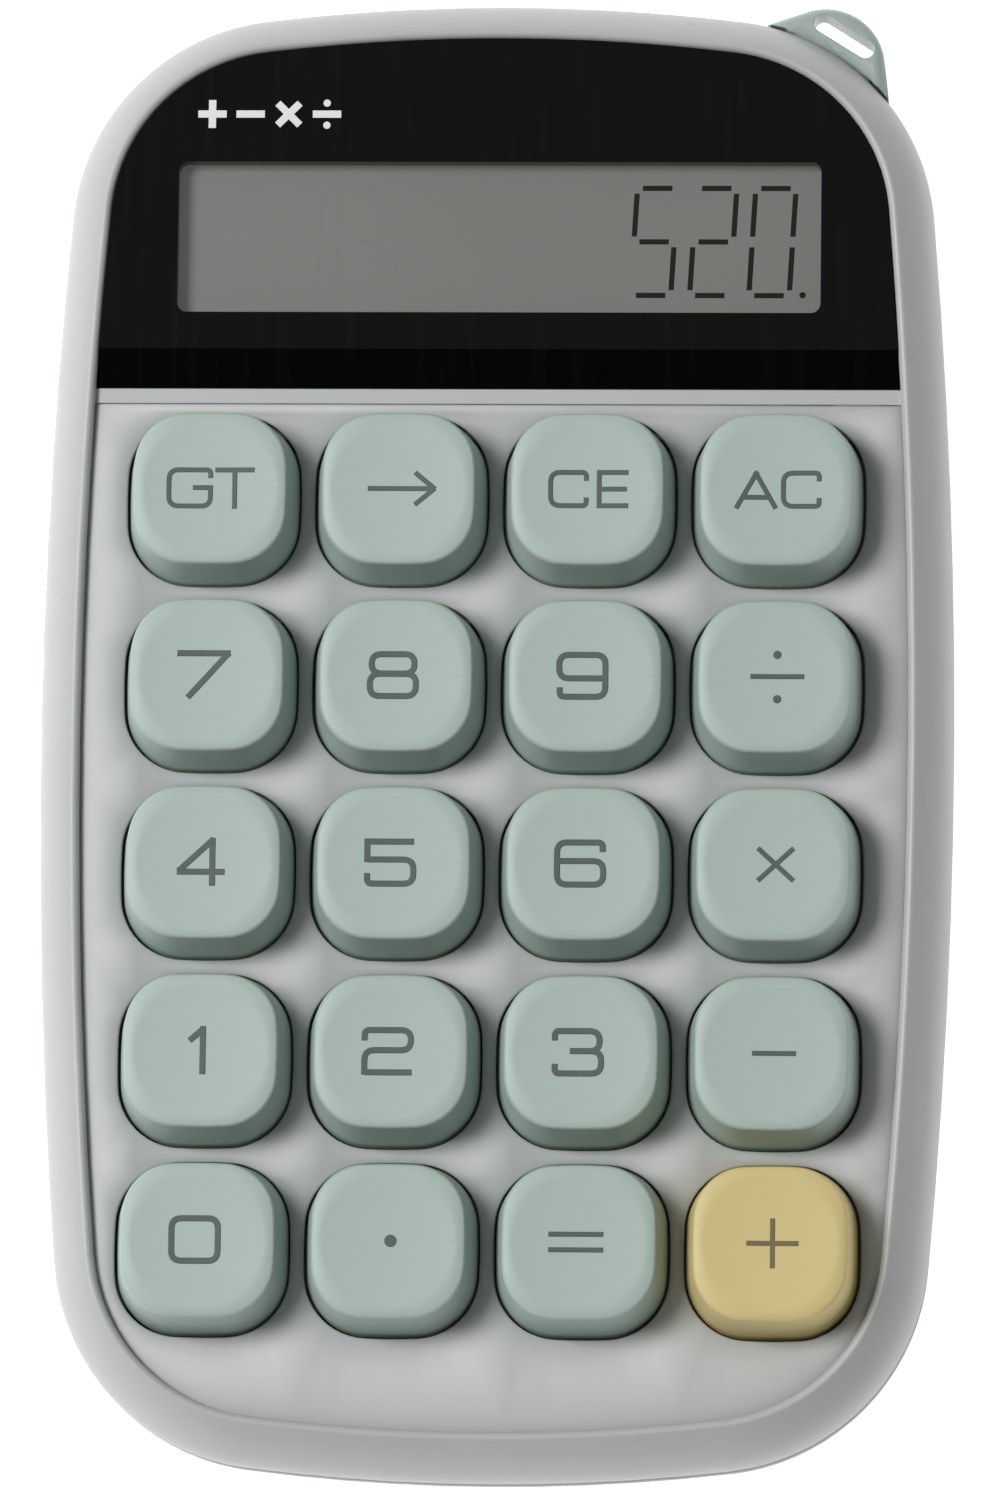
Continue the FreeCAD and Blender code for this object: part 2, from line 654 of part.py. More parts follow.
def switch_cover():
    shell = block(COVER_SIZE, COVER_SIZE, SWITCH_FLANGE_TOP_Z, COVER_TOP_Z)
    uprights = [e for e in shell.Edges if abs(e.tangentAt(e.FirstParameter).z) > 0.9]
    shell = shell.makeChamfer(COVER_CORNER, uprights)
    shell = shell.makeChamfer(0.5, flat_edges(shell, COVER_TOP_Z))
    cavity = block(*SWITCH_CAVITY, SWITCH_FLANGE_TOP_Z - 1, COVER_CEILING_Z)
    slot = block(STEM_SIZE[0] + 0.3, STEM_SIZE[1] + 0.3, SWITCH_FLANGE_TOP_Z, COVER_TOP_Z + 1)
    return shell.cut([cavity, slot])


def switch_spring():
    low = SWITCH_FLOOR_Z + SPRING_WIRE_R
    high = STEM_BORE_Z - SPRING_WIRE_R
    helix = Part.makeHelix((high - low) / SPRING_TURNS, high - low, SPRING_COIL_R)
    corners = []
    for side in range(SPRING_WIRE_SIDES + 1):
        turn = math.tau * (side % SPRING_WIRE_SIDES) / SPRING_WIRE_SIDES
        reach = SPRING_COIL_R + SPRING_WIRE_R * math.cos(turn)
        corners.append(Vector(reach, 0, SPRING_WIRE_R * math.sin(turn)))
    section = Part.makePolygon(corners)
    coil = Part.Wire(helix.Edges).makePipeShell([section], True, True)
    coil.translate(Vector(0, 0, low))
    return coil


def switch_contact(x, y):
    """One terminal: a round pin through the board with a flat blade inside the switch."""
    pin = rod(PIN_R, PIN_BOTTOM_Z, SWITCH_FLOOR_Z + 0.2, (x, y))
    blade = block(*BLADE, SWITCH_FLOOR_Z, BLADE_TOP_Z, (x - math.copysign(0.6, x), y))
    return fused(pin, blade)


def switch_plate():
    plate = box((-39.6, -62.5, PLATE_Z), (39.6, 32.5, PLATE_TOP_Z))
    plate = plate.common(case_slab(WALL + 1.0, PLATE_Z, PLATE_TOP_Z))
    hole = block(SWITCH_BODY + 0.2, SWITCH_BODY + 0.2, PLATE_Z - 1, PLATE_TOP_Z + 1)
    notches = [rod(POST_R + 0.4, PLATE_Z - 1, PLATE_TOP_Z + 1, p) for p in SCREW_PLACES]
    return plate.cut(at_keys(hole) + notches)


# ---------------------------------------------------------------- board, battery, fasteners


def main_board():
    board = box((-36.0, -62.0, BOARD_Z), (36.0, 64.0, BOARD_TOP_Z))
    board = board.common(case_slab(9.2, BOARD_Z, BOARD_TOP_Z))
    cuts = [rod(POST_R + 0.4, BOARD_Z - 1, BOARD_TOP_Z + 1, p) for p in SCREW_PLACES]
    cuts.append(rod(BOARD_CUTOUT_R, BOARD_Z - 1, BOARD_TOP_Z + 1, (0, CELL_Y)))
    for pin in PIN_PLACES:
        cuts.extend(at_keys(rod(PIN_R + 0.1, BOARD_Z - 1, BOARD_TOP_Z + 1, pin)))
    return board.cut(cuts)


def controller_chip():
    blob = rod(4.5, BOARD_TOP_Z, BOARD_TOP_Z + 1.6, (25.0, CELL_Y))
    return blob.makeFillet(1.3, flat_edges(blob, BOARD_TOP_Z + 1.6))


def coin_cell():
    can = rod(CELL_R, CELL_Z, CELL_TOP_Z - CELL_CAP, (0, CELL_Y))
    can = can.makeFillet(0.3, can.Edges[:1] + can.Edges[2:])
    return fused(can, rod(CELL_CAP_R, CELL_TOP_Z - 2 * CELL_CAP, CELL_TOP_Z, (0, CELL_Y)))


def strip(points):
    """Metal strip of even width, lying along X over the battery, from its lower outline."""
    lower = [Vector(x, CELL_Y - CONTACT_WIDTH / 2, z) for x, z in points]
    upper = [p + UP * CONTACT_THICK for p in reversed(lower)]
    face = Part.Face(Part.makePolygon(lower + upper + lower[:1]))
    return face.extrude(Vector(0, CONTACT_WIDTH, 0))


def battery_contacts():
    """The leaf that presses on the cell's cap, and the tab that touches the side of its can."""
    on_board = [(CONTACT_REACH, BOARD_TOP_Z), (BOARD_CUTOUT_R - 0.4, BOARD_TOP_Z)]
    on_cell = [(3.0, CELL_TOP_Z), (2.0, CELL_TOP_Z), (-1.0, CELL_TOP_Z + 0.5)]
    negative = strip(on_board + on_cell)
    side = -CELL_R - 0.02
    bridge = strip([(-CONTACT_REACH, BOARD_TOP_Z), (side, BOARD_TOP_Z)])
    blade = box(
        (side - CONTACT_THICK, CELL_Y - CONTACT_WIDTH / 2, COVER_RING_TOP_Z + 0.1),
        (side, CELL_Y + CONTACT_WIDTH / 2, BOARD_TOP_Z + 0.1),
    )
    return Part.makeCompound([negative, fused(bridge, blade)])


def battery_cover():
    at = (0.0, CELL_Y)
    disc = rod(COVER_R, BASE_Z, COVER_DISC_TOP_Z, at)
    disc = disc.makeFillet(0.3, flat_edges(disc, BASE_Z))
    ring = rod(COVER_RING_R, COVER_DISC_TOP_Z - 0.2, COVER_RING_TOP_Z, at)
    lug_ring = (COVER_RING_R - 0.3, LUG_R, LUG_Z, COVER_RING_TOP_Z)
    lugs = [ring_sector(*lug_ring, angle, LUG_WIDTH_DEG, at) for angle in lug_angles()]
    length, width, depth = COIN_SLOT
    slot = rounded_block(length / 2, width / 2, width / 2 - 0.01, BASE_Z - 1, BASE_Z + depth, at)
    hollow = rod(COVER_RING_INNER_R, COVER_DISC_TOP_Z, COVER_RING_TOP_Z + 1, at)
    return fused(disc, ring, *lugs).cut([hollow, slot])


def case_screw(place):
    head = rod(SCREW_HEAD_R, SCREW_SEAT_Z - SCREW_HEAD, SCREW_SEAT_Z, place)
    head = head.makeFillet(0.35, flat_edges(head, SCREW_SEAT_Z - SCREW_HEAD))
    shank = rod(SCREW_R, SCREW_SEAT_Z - 0.2, SCREW_TIP_Z, place)
    shank = shank.makeChamfer(0.4, flat_edges(shank, SCREW_TIP_Z))
    drive = [
        block(2.2, 0.6, SCREW_SEAT_Z - SCREW_HEAD - 1, SCREW_SEAT_Z - SCREW_HEAD + 0.6, place),
        block(0.6, 2.2, SCREW_SEAT_Z - SCREW_HEAD - 1, SCREW_SEAT_Z - SCREW_HEAD + 0.6, place),
    ]
    return fused(head, shank).cut(drive)


def rubber_foot(place):
    foot = rod(FOOT_R, 0.0, BASE_Z + FOOT_SINK, place)
    return foot.makeFillet(0.3, flat_edges(foot, 0.0))


def moved(shape, place):
    copy = shape.copy()
    copy.translate(Vector(place[0], place[1], 0))
    return copy


def main():
    os.makedirs("parts", exist_ok=True)
    contacts = [switch_contact(x, y) for x, y in PIN_PLACES]
    parts = {
        "top_case": top_case(),
        "bottom_case": bottom_case(),
        "lanyard_loop": lanyard_loop(),
        "deck_panel": deck_panel(),
        "display_bezel": display_bezel(),
        "display_window": display_window(),
        "lcd_cell": lcd_cell(),
        "zebra_strip": zebra_strip(),
        "main_board": main_board(),
        "controller_chip": controller_chip(),
        "switch_plate": switch_plate(),
        "switch_bases": Part.makeCompound(at_keys(switch_base())),
        "switch_covers": Part.makeCompound(at_keys(switch_cover())),
        "switch_springs": Part.makeCompound(at_keys(switch_spring())),
        "switch_contacts": Part.makeCompound([c for shape in contacts for c in at_keys(shape)]),
        "battery_cover": battery_cover(),
        "coin_cell": coin_cell(),
        "battery_contacts": battery_contacts(),
        "rubber_feet": Part.makeCompound([rubber_foot(p) for p in FOOT_PLACES]),
        "case_screws": Part.makeCompound([case_screw(p) for p in SCREW_PLACES]),
    }
    cap, stem = keycap(), key_stem()
    for name, place in key_places():
        parts[f"keycap_{name}"] = moved(cap, place)
        parts[f"stem_{name}"] = moved(stem, place)
    for name, shape in parts.items():
        if not shape.isValid():
            print("not valid:", name)
        shape.exportStep(f"parts/{name}.step")
    print(len(parts), "parts")


main()
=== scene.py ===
"""The looks of a desk calculator with mechanical keys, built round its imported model.

Metres. +X is to the right of the keyboard, +Y towards the display and +Z up out of the keys.
"""

import json
import math

import bmesh
import bpy
from mathutils import Matrix, Vector
from mathutils.bvhtree import BVHTree
from mathutils.geometry import delaunay_2d_cdt


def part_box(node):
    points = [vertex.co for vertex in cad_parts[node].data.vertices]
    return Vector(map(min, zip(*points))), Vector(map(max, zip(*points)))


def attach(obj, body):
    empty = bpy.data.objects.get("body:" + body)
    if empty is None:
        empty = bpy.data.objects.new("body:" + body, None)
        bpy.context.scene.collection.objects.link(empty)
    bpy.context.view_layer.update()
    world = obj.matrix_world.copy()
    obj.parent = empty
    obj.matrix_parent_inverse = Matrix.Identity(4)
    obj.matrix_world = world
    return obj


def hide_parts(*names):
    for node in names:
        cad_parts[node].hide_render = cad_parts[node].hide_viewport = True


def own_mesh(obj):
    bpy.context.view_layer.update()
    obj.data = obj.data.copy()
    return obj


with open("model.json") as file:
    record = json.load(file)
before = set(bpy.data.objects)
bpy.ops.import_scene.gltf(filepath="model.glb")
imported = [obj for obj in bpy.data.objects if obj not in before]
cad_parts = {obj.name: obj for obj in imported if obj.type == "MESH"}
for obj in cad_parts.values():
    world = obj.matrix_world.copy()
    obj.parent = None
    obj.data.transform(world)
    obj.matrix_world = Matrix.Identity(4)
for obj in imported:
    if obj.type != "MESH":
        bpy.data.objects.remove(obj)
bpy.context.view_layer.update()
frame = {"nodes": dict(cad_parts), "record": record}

MM = 0.001
scene = bpy.context.scene


# ---------------------------------------------------------------- view, floor and light
# A long lens looks almost straight down on the calculator from a little below and to the right.
# It lies on a white light table under one broad soft lamp high on the left.

EYE = Vector((0.0594, -0.1700, 1.1000))
AIM = Vector((0.0007, -0.0021, 0.0160))
ROLL_DEG = 0.72
LENS = 261.2

lens = bpy.data.cameras.new("camera")
lens.lens = LENS
lens.clip_start = 0.05
lens.clip_end = 20
camera = bpy.data.objects.new("camera", lens)
scene.collection.objects.link(camera)
view = (AIM - EYE).normalized()
right = view.cross(Vector((0, 1, 0))).normalized()
facing = Matrix((right, right.cross(view), -view)).transposed().to_4x4()
camera.matrix_world = (
    Matrix.Translation(EYE) @ facing @ Matrix.Rotation(math.radians(ROLL_DEG), 4, "Z")
)
scene.camera = camera
scene.view_settings.view_transform = "Standard"

FLOOR_HALF = 3.0
FLOOR_WHITE = 0.86
FLOOR_GLOW = 0.78
SURROUND = 0.26
FLAG_TOWARDS = Vector((-0.05, -0.36, 0.93))
FLAG_COS = (0.92, 0.96)
LAMP_PLACE = (-0.62, 0.16, 1.02)
LAMP_SIZE = 0.42
LAMP_WATTS = 11.8


def put(socket, value):
    """Gives a socket a value, or links another node's output to it."""
    if isinstance(value, bpy.types.NodeSocket):
        socket.id_data.links.new(value, socket)
    else:
        socket.default_value = value


def finish(name, colour, roughness, **sockets):
    """A new material; each named socket of its Principled shader gets the value given."""
    material = bpy.data.materials.new(name)
    material.use_nodes = True
    shader = material.node_tree.nodes["Principled BSDF"]
    put(shader.inputs["Base Color"], colour)
    put(shader.inputs["Roughness"], roughness)
    for socket, value in sockets.items():
        put(shader.inputs[socket.replace("_", " ")], value)
    return material, material.node_tree, shader


table, _, _ = finish(
    "white_table",
    (FLOOR_WHITE, FLOOR_WHITE, FLOOR_WHITE, 1),
    0.9,
    Emission_Color=(1, 1, 1, 1),
    Emission_Strength=FLOOR_GLOW,
)
ground = bpy.data.meshes.new("table_top")
corners = [(-1, -1), (1, -1), (1, 1), (-1, 1)]
ground.from_pydata(
    [(x * FLOOR_HALF, y * FLOOR_HALF, 0) for x, y in corners], [], [(0, 1, 2, 3)]
)
ground.materials.append(table)
floor = bpy.data.objects.new("table_top", ground)
scene.collection.objects.link(floor)

# the surround is white but for a small black flag hung over the near edge of the table
surround = bpy.data.worlds.new("surround")
surround.use_nodes = True
tree = surround.node_tree
background = tree.nodes["Background"]
put(background.inputs["Color"], (1, 1, 1, 1))
towards = tree.nodes.new("ShaderNodeVectorMath")
towards.operation = "DOT_PRODUCT"
put(towards.inputs[0], tree.nodes.new("ShaderNodeTexCoord").outputs["Generated"])
put(towards.inputs[1], FLAG_TOWARDS.normalized())
shade = tree.nodes.new("ShaderNodeMapRange")
for socket, value in zip(shade.inputs, (towards.outputs["Value"], *FLAG_COS, SURROUND, 0.0)):
    put(socket, value)
put(background.inputs["Strength"], shade.outputs["Result"])
scene.world = surround

light = bpy.data.lights.new("soft_lamp", "AREA")
light.size = LAMP_SIZE
light.energy = LAMP_WATTS
lamp = bpy.data.objects.new("soft_lamp", light)
scene.collection.objects.link(lamp)
lamp.location = LAMP_PLACE
lamp.rotation_euler = (-Vector(LAMP_PLACE)).to_track_quat("-Z", "Y").to_euler()


# ---------------------------------------------------------------- case shells
# Two shells injection-moulded in grey ABS, joined along a seam half way up the side. The rim is
# smooth and half matt, with the fine spark texture of the mould and edges rubbed a shade lighter.

CASE_GREY = (0.455, 0.462, 0.460, 1)
CASE_PALE = (0.535, 0.542, 0.540, 1)
GRAIN_SIZE = 0.22 * MM
EDGE_BREAK = 0.14 * MM
RUBBED_WIDTH = 0.35 * MM
EDGE_SAMPLES = 4
SHARP_DEG = 32
SAME_PLACE = 1e-6


def add_node(tree, kind, *values, settings=None, **named):
    """A new node; values fill its usable inputs in order, and named ones by name."""
    node = tree.nodes.new(kind)
    for key, value in (settings or {}).items():
        setattr(node, key, value)
    usable = [s for s in node.inputs if s.enabled and not s.is_unavailable]
    for socket, value in zip(usable, values):
        put(socket, value)
    for key, value in named.items():
        found = [s for s in usable if s.name == key.replace("_", " ")]
        put(found[0], value)
    return node


def result(node):
    """A node's first usable output."""
    return next(s for s in node.outputs if s.enabled and not s.is_unavailable)


def maths(tree, operation, *values):
    return result(add_node(tree, "ShaderNodeMath", *values, settings={"operation": operation}))


def ramp(tree, value, low, high, to_low=0.0, to_high=1.0):
    """Maps a value's range on to another one, held at both ends."""
    return result(add_node(tree, "ShaderNodeMapRange", value, low, high, to_low, to_high))


def blend(tree, share, first, second):
    """Mixes two colours."""
    settings = {"data_type": "RGBA"}
    return result(add_node(tree, "ShaderNodeMix", share, first, second, settings=settings))


def new_group(name, kind, inputs, outputs):
    """A node group with named sockets, each given as (name, type, default)."""
    tree = bpy.data.node_groups.new(name, kind)
    for label, socket_type, value in inputs:
        socket = tree.interface.new_socket(label, in_out="INPUT", socket_type=socket_type)
        if value is not None:
            socket.default_value = value
    for label, socket_type in outputs:
        tree.interface.new_socket(label, in_out="OUTPUT", socket_type=socket_type)
    return tree, tree.nodes.new("NodeGroupInput"), tree.nodes.new("NodeGroupOutput")


def use_group(tree, group, **values):
    node = tree.nodes.new("ShaderNodeGroup")
    node.node_tree = group
    for key, value in values.items():
        put(node.inputs[key.replace("_", " ")], value)
    return node


FLOAT = "NodeSocketFloat"
moulded, inside, outside = new_group(
    "moulded_grain",
    "ShaderNodeTree",
    [("Grain Size", FLOAT, GRAIN_SIZE), ("Cloud Size", FLOAT, 0.03)],
    [("Height", FLOAT), ("Cloud", FLOAT)],
)
where = add_node(moulded, "ShaderNodeTexCoord").outputs["Object"]
fine = add_node(
    moulded,
    "ShaderNodeTexNoise",
    Vector=where,
    Scale=maths(moulded, "DIVIDE", 1.0, inside.outputs["Grain Size"]),
    Detail=3.0,
    Roughness=0.6,
)
broad = add_node(
    moulded,
    "ShaderNodeTexNoise",
    Vector=where,
    Scale=maths(moulded, "DIVIDE", 1.0, inside.outputs["Cloud Size"]),
    Detail=4.0,
    Roughness=0.5,
)
put(outside.inputs["Height"], result(fine))
put(outside.inputs["Cloud"], ramp(moulded, result(broad), 0.3, 0.7))

rubbed, inside, outside = new_group(
    "rubbed_edge",
    "ShaderNodeTree",
    [("Patch Size", FLOAT, 0.006)],
    [("Edge", FLOAT), ("Soft Normal", "NodeSocketVector")],
)
softened = add_node(rubbed, "ShaderNodeBevel", Radius=RUBBED_WIDTH, settings={"samples": EDGE_SAMPLES})
true_normal = add_node(rubbed, "ShaderNodeNewGeometry").outputs["Normal"]
match = add_node(
    rubbed,
    "ShaderNodeVectorMath",
    result(softened),
    true_normal,
    settings={"operation": "DOT_PRODUCT"},
).outputs["Value"]
patches = add_node(
    rubbed,
    "ShaderNodeTexNoise",
    Vector=add_node(rubbed, "ShaderNodeTexCoord").outputs["Object"],
    Scale=maths(rubbed, "DIVIDE", 1.0, inside.outputs["Patch Size"]),
    Detail=5.0,
)
turned_away = ramp(rubbed, match, 0.97, 0.80)
patchy = ramp(rubbed, result(patches), 0.25, 0.75)
put(outside.inputs["Edge"], maths(rubbed, "MULTIPLY", turned_away, patchy))
broken = add_node(rubbed, "ShaderNodeBevel", Radius=EDGE_BREAK, settings={"samples": EDGE_SAMPLES})
put(outside.inputs["Soft Normal"], result(broken))


def moulded_plastic(name, colour, pale, roughness, grain=GRAIN_SIZE, depth=9e-6, wear=0.5, **sockets):
    """Plastic with the mould's grain, a faint cloudiness and edges rubbed to a paler shade."""
    material, tree, shader = finish(name, colour, roughness, **sockets)
    skin = use_group(tree, moulded, Grain_Size=grain)
    edge = use_group(tree, rubbed)
    cloud = maths(tree, "MULTIPLY", skin.outputs["Cloud"], 0.18)
    rub = maths(tree, "MULTIPLY", edge.outputs["Edge"], wear)
    put(shader.inputs["Base Color"], blend(tree, maths(tree, "MAXIMUM", cloud, rub), colour, pale))
    worn = maths(tree, "MULTIPLY", edge.outputs["Edge"], -0.12)
    spread = ramp(tree, skin.outputs["Height"], 0.2, 0.8, roughness - 0.05, roughness + 0.06)
    put(shader.inputs["Roughness"], maths(tree, "ADD", spread, worn))
    bump = add_node(tree, "ShaderNodeBump", Height=skin.outputs["Height"], Distance=depth)
    put(bump.inputs["Strength"], 0.6)
    put(bump.inputs["Normal"], edge.outputs["Soft Normal"])
    put(shader.inputs["Normal"], result(bump))
    return material


def dress(node, material):
    """Gives a carried-over part its material."""
    part = frame["nodes"][node]
    part.data.materials.clear()
    part.data.materials.append(material)
    return part


def body_with(node):
    bodies = frame["record"]["behaviour"]["bodies"]
    return next(body for body, nodes in bodies.items() if node in nodes)


def moulding(node, name, material, sharp=SHARP_DEG, spread=0.0):
    """Stands for a part: its own shape, joined up, smooth, and widened all round by spread."""
    mesh = frame["nodes"][node].data.copy()
    mesh.name = name
    low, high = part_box(node)
    middle, half = (low + high) / 2, (high - low) / 2
    wider = Matrix.Diagonal((1 + spread / half.x, 1 + spread / half.y, 1, 1))
    mesh.transform(Matrix.Translation(middle) @ wider @ Matrix.Translation(-middle))
    work = bmesh.new()
    work.from_mesh(mesh)
    bmesh.ops.remove_doubles(work, verts=work.verts, dist=SAME_PLACE)
    work.to_mesh(mesh)
    work.free()
    mesh.materials.clear()
    mesh.materials.append(material)
    mesh.polygons.foreach_set("use_smooth", [True] * len(mesh.polygons))
    mesh.set_sharp_from_angle(angle=math.radians(sharp))
    piece = bpy.data.objects.new(name, mesh)
    scene.collection.objects.link(piece)
    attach(piece, body_with(node))
    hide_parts(node)
    return piece


case_plastic = moulded_plastic("case_plastic", CASE_GREY, CASE_PALE, 0.42)
moulding("top_case", "upper_shell", case_plastic)
moulding("bottom_case", "lower_shell", case_plastic)


# ---------------------------------------------------------------- keyboard deck
# A flat plate of the same ABS with twenty openings, dropped on the ledge inside the rim. Its face
# has a coarser, drier texture than the rim, and painted shade darkens it where the keys and the rim
# close over it.

DECK_GREY = (0.535, 0.546, 0.543, 1)
DECK_PALE = (0.620, 0.630, 0.627, 1)
# the deck's colour in the painted shade between the keys and along the rim
DECK_PAINTED_SHADE = (0.400, 0.412, 0.408, 1)
PAINTED_SHADE_REACH = 5.5 * MM
PAINTED_SHADE_SAMPLES = 8
DECK_FIT = 0.07 * MM

deck_plastic = moulded_plastic(
    "deck_plastic", DECK_GREY, DECK_PALE, 0.58, grain=0.3 * MM, depth=1.4e-5
)
# painted shade: ambient occlusion within reach of the keys and the rim darkens the deck's colour
painted_shade_tree, inside, outside = new_group(
    "settled_dust", "ShaderNodeTree", [("Reach", FLOAT, PAINTED_SHADE_REACH)], [("Dust", FLOAT)]
)
open_sky = add_node(
    painted_shade_tree,
    "ShaderNodeAmbientOcclusion",
    Distance=inside.outputs["Reach"],
    settings={"samples": PAINTED_SHADE_SAMPLES},
).outputs["AO"]
put(outside.inputs["Dust"], ramp(painted_shade_tree, open_sky, 0.90, 0.40))
tree = deck_plastic.node_tree
colour = tree.nodes["Principled BSDF"].inputs["Base Color"]
painted_shade_share = use_group(tree, painted_shade_tree).outputs["Dust"]
# the deck's colour is blended towards the painted shade where it is most closed in
put(colour, blend(tree, painted_shade_share, colour.links[0].from_socket, DECK_PAINTED_SHADE))
moulding("deck_panel", "keyboard_deck", deck_plastic, spread=DECK_FIT)


# ---------------------------------------------------------------- lanyard loop
# One solid moulding in mint-grey nylon, half glossy, with a slot for a cord right through it. Its
# tee is trapped between the two shells.

loop_plastic = moulded_plastic(
    "loop_plastic",
    (0.370, 0.435, 0.412, 1),
    (0.450, 0.515, 0.490, 1),
    0.28,
    depth=4e-6,
    Subsurface_Weight=0.12,
    Subsurface_Radius=(0.6 * MM, 0.7 * MM, 0.6 * MM),
    Subsurface_Scale=1.0,
)
moulding("lanyard_loop", "cord_loop", loop_plastic)


# ---------------------------------------------------------------- display panel
# Polished black acrylic-faced moulding. The faintest haze and hairline wiping marks keep its gloss
# from being perfect. Four plain arithmetic signs are printed on it in white.

SIGN_STROKE = 0.75 * MM
SIGN_HALF = 1.45 * MM
SIGN_PITCH = 3.9 * MM
SIGN_START = Vector((-29.4 * MM, 63.2 * MM))
PRINT_PROUD = 0.02 * MM
PRINT_SINK = 0.05 * MM
PRINT_FUSE = 1e-5
TRIANGLES = 0

BLACK = (0.0020, 0.0020, 0.0022, 1)
BLACK_HAZE = (0.0060, 0.0060, 0.0066, 1)
PANEL_SHARP_DEG = 9
ROUND_STEPS = 6
DOT_SIDES = 20

bezel_black, tree, shader = finish("bezel_black", BLACK, 0.09, Specular_IOR_Level=0.25)
wiped = add_node(
    tree,
    "ShaderNodeTexNoise",
    Vector=result(
        add_node(
            tree,
            "ShaderNodeMapping",
            Vector=add_node(tree, "ShaderNodeTexCoord").outputs["Object"],
            Rotation=(0, 0, 0.35),
            Scale=(900, 60, 60),
        )
    ),
    Scale=1.0,
    Detail=3.0,
)
put(shader.inputs["Roughness"], ramp(tree, result(wiped), 0.35, 0.8, 0.06, 0.16))
put(shader.inputs["Base Color"], blend(
    tree, ramp(tree, result(wiped), 0.5, 0.9, 0.0, 0.5), BLACK, BLACK_HAZE
))
moulding("display_bezel", "display_panel", bezel_black, sharp=PANEL_SHARP_DEG)


def run_of(points, radius=0.0, closed=False, step=0.35):
    """Points along straight runs whose corners are rounded, no further apart than step."""
    points = [Vector(p) for p in points]
    count = len(points)
    marks = []
    for i, corner in enumerate(points):
        ends = not closed and i in (0, count - 1)
        if ends or radius == 0:
            marks.append(corner)
            continue
        back, ahead = points[i - 1] - corner, points[(i + 1) % count] - corner
        cut = min(radius, back.length / 2, ahead.length / 2)
        first, last = corner + back.normalized() * cut, corner + ahead.normalized() * cut
        for k in range(ROUND_STEPS + 1):
            t = k / ROUND_STEPS
            marks.append(first.lerp(corner, t).lerp(corner.lerp(last, t), t))
    if closed:
        marks.append(marks[0])
    run = [marks[0]]
    for mark in marks[1:]:
        length = (mark - run[-1]).length
        if length < SAME_PLACE:
            continue
        pieces = max(1, math.ceil(length / step))
        start = run[-1]
        run.extend(start.lerp(mark, k / pieces) for k in range(1, pieces + 1))
    return run


def ribbon(run, half, closed=False):
    """Quads of an even band along a run of points."""
    lasts = len(run) - 1
    sides = []
    for i, point in enumerate(run):
        before = run[i - 1] if i > 0 else (run[-2] if closed else point)
        after = run[i + 1] if i < lasts else (run[1] if closed else point)
        back, ahead = (point - before), (after - point)
        back = back.normalized() if back.length else ahead.normalized()
        ahead = ahead.normalized() if ahead.length else back
        middle = (back + ahead).normalized()
        normal = Vector((-middle.y, middle.x)) * (half / max(0.5, middle.dot(ahead)))
        sides.append((point - normal, point + normal))
    return [
        [sides[i][0], sides[i + 1][0], sides[i + 1][1], sides[i][1]] for i in range(lasts)
    ]


def dot(place, radius):
    """A round shape of its own."""
    turns = [k * math.tau / DOT_SIDES for k in range(DOT_SIDES)]
    return [[Vector(place) + radius * Vector((math.cos(a), math.sin(a))) for a in turns]]


def printed(name, shapes, material, under, at, proud=PRINT_PROUD):
    """A thin printed or moulded-in mark: flat shapes merged into one and laid on a part's top."""
    places, faces = [], []
    for shape in shapes:
        faces.append(list(range(len(places), len(places) + len(shape))))
        places.extend(shape)
    spots, _, cells, _, _, owners = delaunay_2d_cdt(
        places, [], faces, TRIANGLES, PRINT_FUSE, True
    )
    cells = [cell for cell, owner in zip(cells, owners) if owner]
    used = sorted({v for cell in cells for v in cell})
    number = {v: i for i, v in enumerate(used)}
    cells = [[number[v] for v in cell] for cell in cells]
    below = frame["nodes"][under].data
    surface = BVHTree.FromPolygons(
        [v.co for v in below.vertices], [list(p.vertices) for p in below.polygons]
    )
    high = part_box(under)[1].z + MM
    tops = []
    for v in used:
        spot = Vector((at[0] + spots[v].x * MM, at[1] + spots[v].y * MM, high))
        tops.append(surface.ray_cast(spot, Vector((0, 0, -1)))[0])
    count = len(tops)
    raised = [p + Vector((0, 0, proud)) for p in tops]
    buried = [p - Vector((0, 0, PRINT_SINK)) for p in tops]
    edges = {(a, b): True for cell in cells for a, b in zip(cell, cell[1:] + cell[:1])}
    walls = [(b, a, a + count, b + count) for a, b in edges if (b, a) not in edges]
    undersides = [[v + count for v in reversed(cell)] for cell in cells]
    mesh = bpy.data.meshes.new(name)
    mesh.from_pydata(raised + buried, [], cells + undersides + walls)
    mesh.materials.append(material)
    mark = bpy.data.objects.new(name, mesh)
    scene.collection.objects.link(mark)
    return mark


def bar(x0, y0, x1, y1, half):
    """A straight band from one point to another."""
    return ribbon(run_of([(x0, y0), (x1, y1)]), half)


white_ink, tree, shader = finish("white_ink", (0.78, 0.78, 0.77, 1), 0.5)
speck = use_group(tree, moulded, Grain_Size=0.12 * MM)
thin = ramp(tree, speck.outputs["Height"], 0.3, 0.75)
put(shader.inputs["Base Color"], blend(tree, thin, (0.80, 0.80, 0.79, 1), (0.70, 0.70, 0.69, 1)))

half, stroke = SIGN_HALF / MM, SIGN_STROKE / MM / 2
slant = half * 0.78
dot_up = 1.15
signs = {
    "plus": bar(-half, 0, half, 0, stroke) + bar(0, -half, 0, half, stroke),
    "minus": bar(-half, 0, half, 0, stroke),
    "times": bar(-slant, -slant, slant, slant, stroke) + bar(-slant, slant, slant, -slant, stroke),
    "divide": bar(-half, 0, half, 0, stroke) + dot((0, dot_up), stroke) + dot((0, -dot_up), stroke),
}
for order, (word, shapes) in enumerate(signs.items()):
    place = (SIGN_START.x + order * SIGN_PITCH, SIGN_START.y)
    sign = printed(f"panel_sign_{word}", shapes, white_ink, "display_bezel", place)
    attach(sign, "case")


# ---------------------------------------------------------------- display window
# A clear acrylic pane glued in from behind, its face all but flush with the panel. It is so clear
# that only its sheen and the faintest smoke show.

